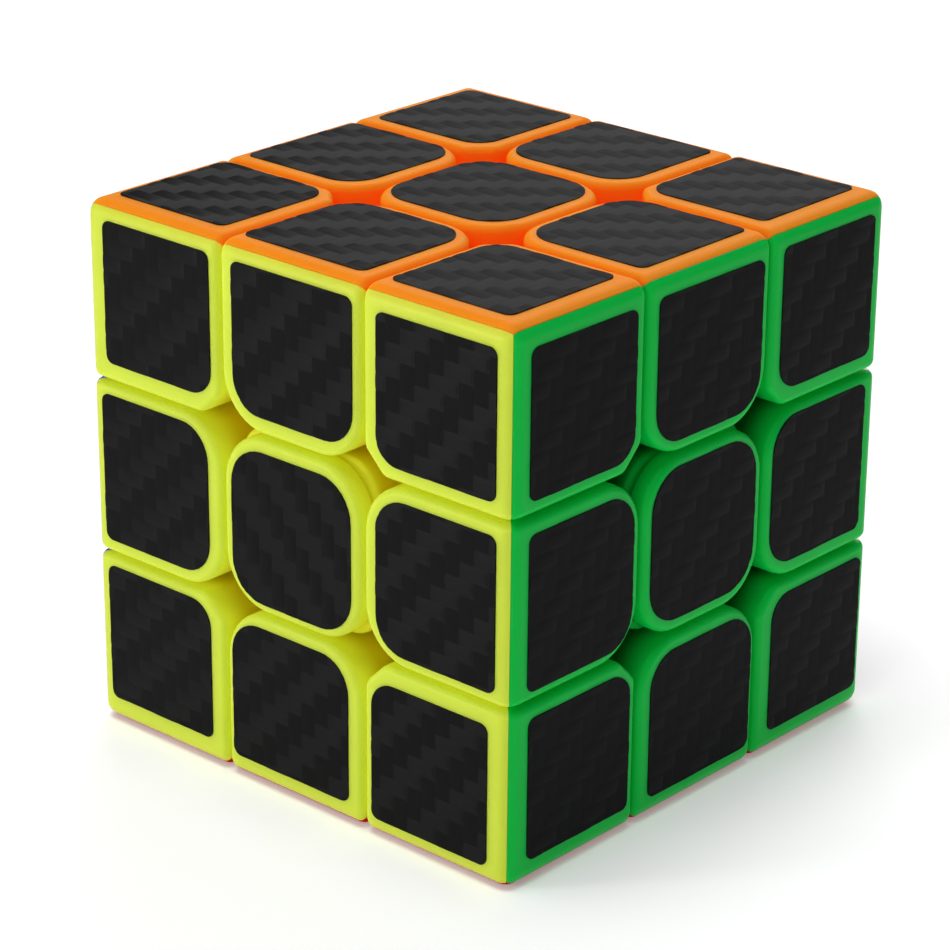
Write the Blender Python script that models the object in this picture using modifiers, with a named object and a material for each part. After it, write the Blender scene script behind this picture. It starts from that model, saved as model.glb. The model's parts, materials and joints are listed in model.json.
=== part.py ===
"""A three-layer twisty puzzle cube with its core, springs, centres, edges and corners.

Metres, +Z up, with the origin in the middle of the core, where the six turning axes meet.
The up face is orange, front (-Y) yellow, right (+X) green, down red, back white and left blue.
"""

import itertools
import math

import bpy
from mathutils import Matrix, Vector

MM = 0.001

# Driving sizes of the whole cube
CUBE_SIZE = 56.0 * MM
PIECE_GAP = 0.4 * MM
FIT_GAP = 0.3 * MM
CORE_HALF = 6.0 * MM
NECK_MARGIN = 2.8 * MM

# Outlines of the small cubes
EDGE_BREAK = 0.6 * MM
CORNER_CHAMFER = 2.5 * MM
ROUND_RADIUS = 5.5 * MM
BASE_ROUND_RADIUS = 3.8 * MM
HOLE_DEPTH = 10.0 * MM

# Walls of the hollow corners and edges
OUTER_WALL = 1.4 * MM
CORNER_INNER_WALL = 2.2 * MM
EDGE_INNER_WALL = 2.6 * MM
EDGE_DRAIN_RADIUS = 2.4 * MM
SOCKET_DEPTH = 3.2 * MM

# Centre pieces: floor, cap and its skirt
FLOOR_THICKNESS = 2.0 * MM
CAP_THICKNESS = 2.2 * MM
SKIRT_DEPTH = 3.2 * MM
SKIRT_WALL = 1.2 * MM
POCKET_WALL = 2.6 * MM
POCKET_DEPTH = 7.0 * MM
CORE_BREAK = 1.2 * MM

# Screw, washer and spring on each axis
SHANK_RADIUS = 1.5 * MM
SCREW_TIP_WALL = 0.5 * MM
HEAD_RADIUS = 2.8 * MM
HEAD_HEIGHT = 2.0 * MM
RECESS_WIDTH = 0.8 * MM
RECESS_LENGTH = 3.4 * MM
RECESS_DEPTH = 1.2 * MM
WASHER_THICKNESS = 0.6 * MM
WASHER_RIM = 0.5 * MM
WIRE_RADIUS = 0.35 * MM
SPRING_PITCH = 1.3 * MM
SPRING_TURNS = 5

# Counts of facets
TRACK_FACETS = 64
ROUND_FACETS = 24
SCREW_FACETS = 16
POINTS_PER_TURN = 8

# Places worked out from the driving sizes
HALF = CUBE_SIZE / 2
LAYER = CUBE_SIZE / 6
CLEAR = PIECE_GAP / 2
OUTER_START = LAYER + CLEAR
MIDDLE_HALF = LAYER - CLEAR
FOOT_START = CORE_HALF + CLEAR
POST_HALF = CORE_HALF - CLEAR
TRACK_RADIUS = LAYER * math.sqrt(2) + NECK_MARGIN
FOOT_RADIUS = TRACK_RADIUS - CLEAR
TRACK_WALL_RADIUS = (TRACK_RADIUS + CLEAR) / math.cos(math.pi / TRACK_FACETS)
HOLE_FLOOR = HALF - HOLE_DEPTH
BEYOND = CUBE_SIZE

SHANK_HOLE_RADIUS = SHANK_RADIUS + FIT_GAP
SCREW_TIP = SHANK_HOLE_RADIUS + SCREW_TIP_WALL
SPRING_RADIUS = SHANK_HOLE_RADIUS + WIRE_RADIUS
WASHER_RADIUS = max(SPRING_RADIUS + WIRE_RADIUS, HEAD_RADIUS) + WASHER_RIM
BORE_RADIUS = WASHER_RADIUS + FIT_GAP
FLOOR_TOP = FOOT_START + FLOOR_THICKNESS
SPRING_LENGTH = SPRING_TURNS * SPRING_PITCH
SPRING_START = FLOOR_TOP + FIT_GAP + WIRE_RADIUS
WASHER_START = SPRING_START + SPRING_LENGTH + WIRE_RADIUS + FIT_GAP
HEAD_START = WASHER_START + WASHER_THICKNESS + FIT_GAP
CAP_START = HALF - CAP_THICKNESS
BASE_TOP = CAP_START - FIT_GAP
POCKET_HALF = MIDDLE_HALF - POCKET_WALL
SKIRT_HALF = POCKET_HALF - FIT_GAP
SKIRT_START = CAP_START - SKIRT_DEPTH
POCKET_FLOOR = max(BASE_TOP - POCKET_DEPTH, HEAD_START)

FACES = {
    "up": Vector((0, 0, 1)),
    "down": Vector((0, 0, -1)),
    "front": Vector((0, -1, 0)),
    "back": Vector((0, 1, 0)),
    "left": Vector((-1, 0, 0)),
    "right": Vector((1, 0, 0)),
}

# Colours as the eye reads them, red, green and blue out of 255
FACE_COLOURS = {
    "up": (255, 120, 30),
    "down": (200, 45, 30),
    "front": (226, 240, 60),
    "back": (240, 240, 236),
    "left": (25, 80, 190),
    "right": (20, 180, 65),
}


def linear(colour):
    """A colour out of 255 as the linear RGBA that a shader takes."""
    channels = [value / 255 for value in colour]
    return [c / 12.92 if c <= 0.04045 else ((c + 0.055) / 1.055) ** 2.4 for c in channels] + [1.0]


def new_material(name, colour, roughness, metallic=0.0):
    """One plain surface finish."""
    material = bpy.data.materials.new(name)
    material.use_nodes = True
    shader = material.node_tree.nodes["Principled BSDF"]
    shader.inputs["Base Color"].default_value = linear(colour)
    shader.inputs["Roughness"].default_value = roughness
    shader.inputs["Metallic"].default_value = metallic
    return material


def clear_scene():
    """Remove every object that the scene starts with."""
    for obj in list(bpy.data.objects):
        bpy.data.objects.remove(obj)


def new_collection(name):
    """A collection in the scene."""
    collection = bpy.data.collections.new(name)
    bpy.context.scene.collection.children.link(collection)
    return collection


def move_to(obj, collection):
    """Keep an object in one collection only."""
    for other in list(obj.users_collection):
        other.objects.unlink(obj)
    collection.objects.link(obj)


def as_cutter(obj):
    """Keep an object as a cutting tool, drawn in wires."""
    move_to(obj, cutters)
    obj.hide_render = True
    obj.display_type = "WIRE"
    return obj


def new_box(name, low, high):
    """A box between two corners, with its place in its mesh."""
    bpy.ops.mesh.primitive_cube_add(size=1.0)
    obj = bpy.context.object
    obj.name = name
    low = Vector(low)
    high = Vector(high)
    size = Matrix.Diagonal((*(high - low), 1.0))
    obj.data.transform(Matrix.Translation((low + high) / 2) @ size)
    return as_cutter(obj)


def new_cylinder(name, axis, start, end, radius, facets, centre=(0, 0, 0)):
    """A cylinder from one distance to another along an axis through a centre."""
    bpy.ops.mesh.primitive_cylinder_add(vertices=facets, radius=radius, depth=end - start)
    obj = bpy.context.object
    obj.name = name
    lift = Matrix.Translation((0, 0, (start + end) / 2))
    turn = Vector((0, 0, 1)).rotation_difference(Vector(axis)).to_matrix().to_4x4()
    obj.data.transform(Matrix.Translation(Vector(centre)) @ turn @ lift)
    return as_cutter(obj)


def new_turned(name, profile, facets):
    """A turned solid from (radius, height) points that run down its outer side."""
    mesh = bpy.data.meshes.new(name)
    points = [(radius, 0, height) for radius, height in profile]
    closed = profile[0][0] > 0
    sides = [(i, (i + 1) % len(points)) for i in range(len(points) if closed else len(points) - 1)]
    mesh.from_pydata(points, sides, [])
    obj = bpy.data.objects.new(name, mesh)
    cutters.objects.link(obj)
    turn = obj.modifiers.new("turn", "SCREW")
    turn.steps = facets
    turn.render_steps = facets
    turn.use_merge_vertices = True
    turn.merge_threshold = 0.00001
    return as_cutter(obj)


def bevel(obj, width):
    """Break every edge of a box with one flat."""
    modifier = obj.modifiers.new("break", "BEVEL")
    modifier.width = width
    modifier.segments = 1
    modifier.limit_method = "NONE"


def combine(obj, operation, *others):
    """Cut an object by others, join them to it or keep what they share."""
    for other in others:
        modifier = obj.modifiers.new(other.name, "BOOLEAN")
        modifier.operation = operation
        modifier.object = other


def finished_mesh(obj):
    """The object's shape with its modifiers worked in, as a mesh to share."""
    bpy.context.view_layer.update()
    evaluated = obj.evaluated_get(bpy.context.evaluated_depsgraph_get())
    mesh = bpy.data.meshes.new_from_object(evaluated)
    mesh.name = obj.name
    bpy.data.objects.remove(obj)
    return mesh


def rounding_cutter(name, radius, x, y, x_sign, y_sign):
    """What rounds one upright corner at (x, y), down to the floor of the openings.

    The signs say towards which side of the piece the corner lies.
    """
    pivot = Vector((x - x_sign * radius, y - y_sign * radius, 0))
    outside = Vector((x + x_sign * radius, y + y_sign * radius, 0))
    low = Vector((min(pivot.x, outside.x), min(pivot.y, outside.y), HOLE_FLOOR))
    high = Vector((max(pivot.x, outside.x), max(pivot.y, outside.y), BEYOND))
    cutter = new_box(name, low, high)
    drum = new_cylinder(name + "_drum", (0, 0, 1), 0, 2 * BEYOND, radius, ROUND_FACETS, pivot)
    combine(cutter, "DIFFERENCE", drum)
    return cutter


def tracks(name, axes):
    """The round spaces that the layers across these axes turn in, beside the core."""
    return [
        new_cylinder(f"{name}_track_{i}", axis, POST_HALF, BEYOND, TRACK_WALL_RADIUS, TRACK_FACETS)
        for i, axis in enumerate(axes)
    ]


def paint_by_axis(mesh):
    """Material slots 0, 1 and 2 for what lies mostly along Z, Y and X."""
    for polygon in mesh.polygons:
        x, y, z = (abs(value) for value in polygon.center)
        polygon.material_index = 0 if z >= max(x, y) else (1 if y >= x else 2)


def core_mesh():
    """The hub, with a screw hole on each axis."""
    hub = new_box("core_hub", [-POST_HALF] * 3, [POST_HALF] * 3)
    bevel(hub, CORE_BREAK)
    for face, normal in FACES.items():
        hole = new_cylinder(f"core_hole_{face}", normal, SCREW_TIP - FIT_GAP, BEYOND,
                            SHANK_HOLE_RADIUS, SCREW_FACETS)
        combine(hub, "DIFFERENCE", hole)
    return finished_mesh(hub)


def screw_mesh():
    """The screw on the +Z axis, with a cross recess in its head."""
    top = HEAD_START + HEAD_HEIGHT
    screw = new_turned("screw_blank", [
        (0, top),
        (HEAD_RADIUS, top),
        (HEAD_RADIUS, HEAD_START),
        (SHANK_RADIUS, HEAD_START),
        (SHANK_RADIUS, SCREW_TIP),
        (0, SCREW_TIP),
    ], SCREW_FACETS)
    slot = (RECESS_LENGTH / 2, RECESS_WIDTH / 2)
    for name, (x, y) in {"recess_long": slot, "recess_cross": slot[::-1]}.items():
        combine(screw, "DIFFERENCE", new_box(name, (-x, -y, top - RECESS_DEPTH), (x, y, BEYOND)))
    return finished_mesh(screw)


def washer_mesh():
    """The flat ring between the spring and the screw's head."""
    top = WASHER_START + WASHER_THICKNESS
    washer = new_turned("washer_blank", [
        (SHANK_HOLE_RADIUS, top),
        (WASHER_RADIUS, top),
        (WASHER_RADIUS, WASHER_START),
        (SHANK_HOLE_RADIUS, WASHER_START),
    ], SCREW_FACETS)
    return finished_mesh(washer)


def spring_points():
    """Points along the helix of the spring on the +Z axis."""
    count = SPRING_TURNS * POINTS_PER_TURN
    for i in range(count + 1):
        angle = math.tau * i / POINTS_PER_TURN
        height = SPRING_START + SPRING_LENGTH * i / count
        yield Vector((SPRING_RADIUS * math.cos(angle), SPRING_RADIUS * math.sin(angle), height))


def spring_mesh():
    """One unbroken coil of wire, which presses the centre towards the core."""
    points = list(spring_points())
    apart = [
        (a - b).length
        for (i, a), (j, b) in itertools.combinations(enumerate(points), 2)
        if j - i > POINTS_PER_TURN // 2
    ]
    print(f"spring: least gap to itself {(min(apart) - 2 * WIRE_RADIUS) / MM:.2f} mm")
    curve = bpy.data.curves.new("spring_wire", "CURVE")
    curve.dimensions = "3D"
    curve.bevel_depth = WIRE_RADIUS
    curve.bevel_resolution = 1
    curve.use_fill_caps = True
    wire = curve.splines.new("POLY")
    wire.points.add(len(points) - 1)
    for target, point in zip(wire.points, points):
        target.co = (*point, 1.0)
    obj = bpy.data.objects.new("spring_blank", curve)
    cutters.objects.link(obj)
    weld = obj.modifiers.new("weld", "WELD")
    weld.merge_threshold = 0.00001
    mesh = finished_mesh(obj)
    mesh.shade_smooth()
    return mesh


def centre_base_mesh():
    """The post and head of the centre on +Z, bored for its spring and screw."""
    base = new_box("centre_block", (-MIDDLE_HALF, -MIDDLE_HALF, FOOT_START),
                   (MIDDLE_HALF, MIDDLE_HALF, BASE_TOP))
    combine(base, "DIFFERENCE", *tracks("centre", [FACES[f] for f in ("left", "right", "front", "back")]))
    combine(base, "DIFFERENCE", *centre_roundings("centre_base", BASE_ROUND_RADIUS))
    shank_hole = new_cylinder("centre_shank_hole", (0, 0, 1), 0, BEYOND, SHANK_HOLE_RADIUS, SCREW_FACETS)
    bore = new_cylinder("centre_bore", (0, 0, 1), FLOOR_TOP, BEYOND, BORE_RADIUS, ROUND_FACETS)
    pocket = new_box("centre_pocket", (-POCKET_HALF, -POCKET_HALF, POCKET_FLOOR),
                     (POCKET_HALF, POCKET_HALF, BEYOND))
    combine(base, "DIFFERENCE", shank_hole, bore, pocket)
    return finished_mesh(base)


def centre_roundings(name, radius):
    """Cutters for the four corners of a centre."""
    return [
        rounding_cutter(f"{name}_round_{i}", radius, x * MIDDLE_HALF, y * MIDDLE_HALF, x, y)
        for i, (x, y) in enumerate(itertools.product((-1, 1), repeat=2))
    ]


def centre_cap_mesh():
    """The coloured cap over the screw, with a square skirt that presses into the base."""
    cap = new_box("cap_plate", (-MIDDLE_HALF, -MIDDLE_HALF, CAP_START), (MIDDLE_HALF, MIDDLE_HALF, HALF))
    bevel(cap, EDGE_BREAK)
    combine(cap, "DIFFERENCE", *centre_roundings("cap", ROUND_RADIUS))
    inside = SKIRT_HALF - SKIRT_WALL
    skirt = new_box("cap_skirt", (-SKIRT_HALF, -SKIRT_HALF, SKIRT_START),
                    (SKIRT_HALF, SKIRT_HALF, HALF - CAP_THICKNESS / 2))
    hollow = new_box("cap_hollow", (-inside, -inside, 0), (inside, inside, CAP_START))
    combine(cap, "UNION", skirt)
    combine(cap, "DIFFERENCE", hollow)
    return finished_mesh(cap)


def edge_mesh():
    """The edge between +Z and +Y: a hollow block with a foot under both centres."""
    block = new_box("edge_block", (-MIDDLE_HALF, OUTER_START, OUTER_START), (MIDDLE_HALF, HALF, HALF))
    bevel(block, EDGE_BREAK)
    foot = new_box("edge_foot", (-POST_HALF, FOOT_START, FOOT_START), (POST_HALF, TRACK_RADIUS, TRACK_RADIUS))
    for axis in ("up", "back"):
        track = new_cylinder(f"edge_foot_{axis}", FACES[axis], 0, BEYOND, FOOT_RADIUS, TRACK_FACETS)
        combine(foot, "INTERSECT", track)
    combine(block, "UNION", foot)
    combine(block, "DIFFERENCE", *tracks("edge", [FACES["left"], FACES["right"]]))
    swap_faces = Matrix.Rotation(math.pi, 4, (0, 1, 1))
    for face, turn in {"up": Matrix.Identity(4), "back": swap_faces}.items():
        for side in (-1, 1):
            cutter = rounding_cutter(f"edge_round_{face}_{side}", ROUND_RADIUS, side * MIDDLE_HALF,
                                     OUTER_START, side, -1)
            cutter.matrix_world = turn
            drum = cutter.modifiers[0].object
            drum.matrix_world = turn
            combine(block, "DIFFERENCE", cutter)
    wide = MIDDLE_HALF - EDGE_INNER_WALL
    inner = OUTER_START + EDGE_INNER_WALL
    outer = HALF - OUTER_WALL
    hollow = new_box("edge_hollow", (-wide, inner, inner), (wide, outer, outer))
    drain = new_cylinder("edge_drain", (0, 1, 1), 0, (inner + outer) / math.sqrt(2), EDGE_DRAIN_RADIUS,
                         ROUND_FACETS)
    combine(block, "DIFFERENCE", hollow, drain)
    mesh = finished_mesh(block)
    paint_by_axis(mesh)
    return mesh


def corner_shell_mesh():
    """The hollow outer part of the corner at +X +Y +Z, open where its foot plugs in."""
    shell = new_box("corner_block", [OUTER_START] * 3, [HALF] * 3)
    bevel(shell, EDGE_BREAK)
    reach = CORNER_CHAMFER * 4
    spread = Matrix.Rotation(math.pi / 4, 4, "Z")
    for i in range(3):
        chamfer = new_box(f"corner_chamfer_{i}", (-reach, -reach, HOLE_FLOOR), (0, reach, BEYOND))
        middle = OUTER_START + CORNER_CHAMFER / 2
        chamfer.data.transform(Matrix.Translation((middle, middle, 0)) @ spread)
        chamfer.data.transform(Matrix.Rotation(i * math.tau / 3, 4, (1, 1, 1)))
        combine(shell, "DIFFERENCE", chamfer)
    hollow = new_box("corner_hollow", [OUTER_START + CORNER_INNER_WALL] * 3, [HALF - OUTER_WALL] * 3)
    socket = new_box("corner_socket", [0] * 3, [OUTER_START + SOCKET_DEPTH] * 3)
    combine(shell, "DIFFERENCE", hollow, socket)
    mesh = finished_mesh(shell)
    paint_by_axis(mesh)
    return mesh


def corner_foot_mesh():
    """The foot of the corner at +X +Y +Z: three flanges under the edges, and a plug into the shell."""
    foot = new_box("foot_block", [FOOT_START] * 3, [TRACK_RADIUS] * 3)
    for axis in ("right", "back", "up"):
        track = new_cylinder(f"foot_{axis}", FACES[axis], 0, BEYOND, FOOT_RADIUS, TRACK_FACETS)
        combine(foot, "INTERSECT", track)
    around_plug = new_box("foot_shoulder", [OUTER_START - FIT_GAP] * 3, [BEYOND] * 3)
    plug = new_box("foot_plug", [0] * 3, [OUTER_START + SOCKET_DEPTH - FIT_GAP] * 3)
    combine(around_plug, "DIFFERENCE", plug)
    combine(foot, "DIFFERENCE", around_plug)
    return finished_mesh(foot)


def frame_of(up, side):
    """The turn that takes +Z to one face's normal and +Y to another's."""
    return Matrix((side.cross(up), side, up)).transposed().to_4x4()


def add_piece(name, mesh, materials, turn, parent):
    """One named piece that shares a mesh, with materials of its own."""
    obj = bpy.data.objects.new(name, mesh)
    while len(mesh.materials) < len(materials):
        mesh.materials.append(None)
    for slot, material in zip(obj.material_slots, materials):
        slot.link = "OBJECT"
        slot.material = material
    obj.parent = parent
    obj.matrix_world = turn
    parts.objects.link(obj)


def add_pivot(name, parent):
    """An empty at the origin, where all the turning axes meet."""
    pivot = bpy.data.objects.new(name, None)
    pivot.empty_display_size = LAYER
    pivot.parent = parent
    parts.objects.link(pivot)
    return pivot


def build_cube():
    """Every piece of the cube in its place."""
    plastics = {face: new_material(f"plastic_{face}", colour, 0.4) for face, colour in FACE_COLOURS.items()}
    core_plastic = new_material("core_plastic", (225, 225, 220), 0.5)
    steel = new_material("steel", (190, 190, 195), 0.3, 1.0)
    whole = add_pivot("puzzle_cube", None)
    add_piece("core", core_mesh(), [core_plastic], Matrix.Identity(4), whole)

    axis_parts = {
        "screw": screw_mesh(),
        "washer": washer_mesh(),
        "spring": spring_mesh(),
        "centre_base": centre_base_mesh(),
        "centre_cap": centre_cap_mesh(),
    }
    for face, normal in FACES.items():
        pivot = add_pivot(f"turn_{face}", whole)
        turn = Vector((0, 0, 1)).rotation_difference(normal).to_matrix().to_4x4()
        for kind, mesh in axis_parts.items():
            material = plastics[face] if kind.startswith("centre") else steel
            add_piece(f"{kind}_{face}", mesh, [material], turn, pivot)

    edge = edge_mesh()
    for first, second in itertools.combinations(FACES, 2):
        if FACES[first].dot(FACES[second]) == 0:
            turn = frame_of(FACES[first], FACES[second])
            add_piece(f"edge_{first}_{second}", edge, [plastics[first], plastics[second]], turn, whole)

    shell = corner_shell_mesh()
    foot = corner_foot_mesh()
    for names in itertools.product(("up", "down"), ("front", "back"), ("left", "right")):
        first, second, third = names
        if FACES[second].cross(FACES[first]).dot(FACES[third]) < 0:
            second, third = third, second
        turn = frame_of(FACES[first], FACES[second])
        colours = [plastics[face] for face in (first, second, third)]
        add_piece("corner_shell_" + "_".join(names), shell, colours, turn, whole)
        add_piece("corner_foot_" + "_".join(names), foot, [core_plastic], turn, whole)


clear_scene()
parts = new_collection("twisty_puzzle_cube")
cutters = new_collection("cutters")
build_cube()
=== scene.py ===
"""Looks of a three-layer twisty puzzle cube: coloured plastic, carbon-weave stickers and steel fixings.

Each piece is shaped once at the origin, in millimetres, and copied to its places in the frame, in metres.
"""

import itertools
import json
import logging
import math
import random
from dataclasses import dataclass
from enum import Enum
from typing import Callable, Sequence

import bmesh
import bpy
from bmesh.types import BMEdge, BMesh
from bpy.types import Material, Mesh, Node, NodeSocket, Object
from mathutils import Matrix, Vector

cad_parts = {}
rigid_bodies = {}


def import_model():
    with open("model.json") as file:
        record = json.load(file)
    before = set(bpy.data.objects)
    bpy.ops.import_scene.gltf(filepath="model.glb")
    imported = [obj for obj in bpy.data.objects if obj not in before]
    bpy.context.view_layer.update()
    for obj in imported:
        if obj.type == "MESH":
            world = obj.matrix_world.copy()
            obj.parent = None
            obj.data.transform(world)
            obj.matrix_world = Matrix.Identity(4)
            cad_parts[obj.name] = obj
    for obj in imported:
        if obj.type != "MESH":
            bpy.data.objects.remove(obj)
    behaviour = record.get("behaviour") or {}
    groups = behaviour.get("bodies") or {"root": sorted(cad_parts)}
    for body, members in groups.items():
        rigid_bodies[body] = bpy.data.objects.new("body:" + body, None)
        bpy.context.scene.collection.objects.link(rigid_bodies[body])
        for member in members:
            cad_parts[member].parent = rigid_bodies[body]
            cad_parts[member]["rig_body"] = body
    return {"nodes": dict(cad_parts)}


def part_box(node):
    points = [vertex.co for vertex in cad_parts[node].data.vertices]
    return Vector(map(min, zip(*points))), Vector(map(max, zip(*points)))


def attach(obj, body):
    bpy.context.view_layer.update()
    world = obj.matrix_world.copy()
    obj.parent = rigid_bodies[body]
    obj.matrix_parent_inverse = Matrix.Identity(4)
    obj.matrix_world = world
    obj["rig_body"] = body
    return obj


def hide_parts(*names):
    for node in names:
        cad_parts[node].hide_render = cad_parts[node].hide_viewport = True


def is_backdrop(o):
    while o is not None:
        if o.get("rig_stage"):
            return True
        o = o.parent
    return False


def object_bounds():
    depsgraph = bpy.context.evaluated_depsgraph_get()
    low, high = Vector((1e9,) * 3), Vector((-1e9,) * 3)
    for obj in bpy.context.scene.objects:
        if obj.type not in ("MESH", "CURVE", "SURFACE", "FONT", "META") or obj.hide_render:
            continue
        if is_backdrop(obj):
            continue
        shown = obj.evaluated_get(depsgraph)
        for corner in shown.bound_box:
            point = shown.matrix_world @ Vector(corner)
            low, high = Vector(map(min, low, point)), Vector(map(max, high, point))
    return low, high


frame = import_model()
cad_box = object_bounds()

# One millimetre in metres, and the gap in millimetres that counts as none
MM = 0.001
TINY = 0.0005
# Radians that two faces turn at a sharp edge, and how squarely a face looks along Z
SHARP_TURN = 0.3
SQUARELY = 0.9
# Tows in one repeat of the twill, and the seed for where the stickers cut into it
TWILL = 4
SEED = 9

log = logging.getLogger("puzzle_cube")


class Face(Enum):
    """A face of the cube: its name, its normal and what is up for someone who looks at it."""

    UP = ("up", (0, 0, 1), (0, 1, 0))
    DOWN = ("down", (0, 0, -1), (0, -1, 0))
    FRONT = ("front", (0, -1, 0), (0, 0, 1))
    BACK = ("back", (0, 1, 0), (0, 0, 1))
    LEFT = ("left", (-1, 0, 0), (0, 0, 1))
    RIGHT = ("right", (1, 0, 0), (0, 0, 1))

    def __init__(self, label: str, normal: tuple[int, ...], upright: tuple[int, ...]) -> None:
        """Keep the face's name and directions."""
        self.label = label
        self.normal = Vector(normal)
        self.upright = Vector(upright)

    @property
    def axis(self) -> int:
        """0 for a face across Z, 1 across Y and 2 across X."""
        return 2 - max(range(3), key=lambda i: abs(self.normal[i]))


class Join(Enum):
    """How one shape is combined with another."""

    ADD = "UNION"
    CUT = "DIFFERENCE"
    SHARE = "INTERSECT"


def turn_to(normal: Vector, upright: Vector) -> Matrix:
    """The turn that takes +Z to a normal and +Y to an upright direction.

    Args:
        normal: Where +Z goes.
        upright: Where +Y goes, square to the normal.

    Returns:
        A turn about the origin.
    """
    return Matrix((upright.cross(normal), upright, normal)).transposed().to_4x4()


@dataclass(frozen=True)
class Gauge:
    """Sizes that the pieces share, in millimetres.

    Attributes:
        half: From the middle of the cube to a face.
        outer_start: Where the outer layers begin.
        middle_half: Half the width of a middle layer.
        post_half: Half the width of the core and of an edge's foot.
        foot_start: Where the feet begin, beside the core.
        base_top: Top of a centre base.
        skirt_start: Lower end of a cap's skirt.
        track_radius: Radius of the round space that a layer's feet turn in.
        foot_radius: Radius of the feet themselves.
        hole_floor: Height of the floor of the openings between pieces.
        shoulder: Rounding of the cube's own edges.
        seam: Hairline left between two coloured parts of one piece.
        seam_break: Broken edge on either side of that hairline.
    """

    half: float
    outer_start: float
    middle_half: float
    post_half: float
    foot_start: float
    base_top: float
    skirt_start: float
    track_radius: float = 16.25
    foot_radius: float = 15.8
    hole_floor: float = 18.0
    shoulder: float = 1.6
    seam: float = 0.012
    seam_break: float = 0.12

    @classmethod
    def from_frame(cls) -> "Gauge":
        """Read the shared sizes from the frame's own boxes."""
        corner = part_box("corner_shell_up_back_right")
        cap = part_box("centre_cap_up")
        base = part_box("centre_base_up")
        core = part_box("core")
        return cls(
            half=corner[1].z / MM,
            outer_start=corner[0].z / MM,
            middle_half=cap[1].x / MM,
            post_half=core[1].x / MM,
            foot_start=base[0].z / MM,
            base_top=base[1].z / MM,
            skirt_start=cap[0].z / MM,
        )

    def on_cube_edge(self, edge: BMEdge) -> bool:
        """Whether an edge is one of the cube's own edges."""
        return sum(lies_at(edge, axis, self.half) for axis in range(3)) == 2

    def on_rim(self, edge: BMEdge) -> bool:
        """Whether an edge bounds an outer face or the end of a rounded cube edge."""
        if any(lies_at(edge, axis, self.half) for axis in range(3)):
            return True
        return sum(place > self.half - self.shoulder for place in middle_of(edge)) > 1

    def mitre(self, bench: "Bench", normal: Vector) -> None:
        """Cut a piece along a mitre through the middle of the cube and break the cut's outer edge.

        Args:
            bench: The piece.
            normal: Away from what stays.
        """
        point = -self.seam * normal
        bench.slice(point, normal)
        bench.bevel(self.seam_break, 2, lambda edge: lies_in(edge, point, normal) and self.on_rim(edge))


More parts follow.
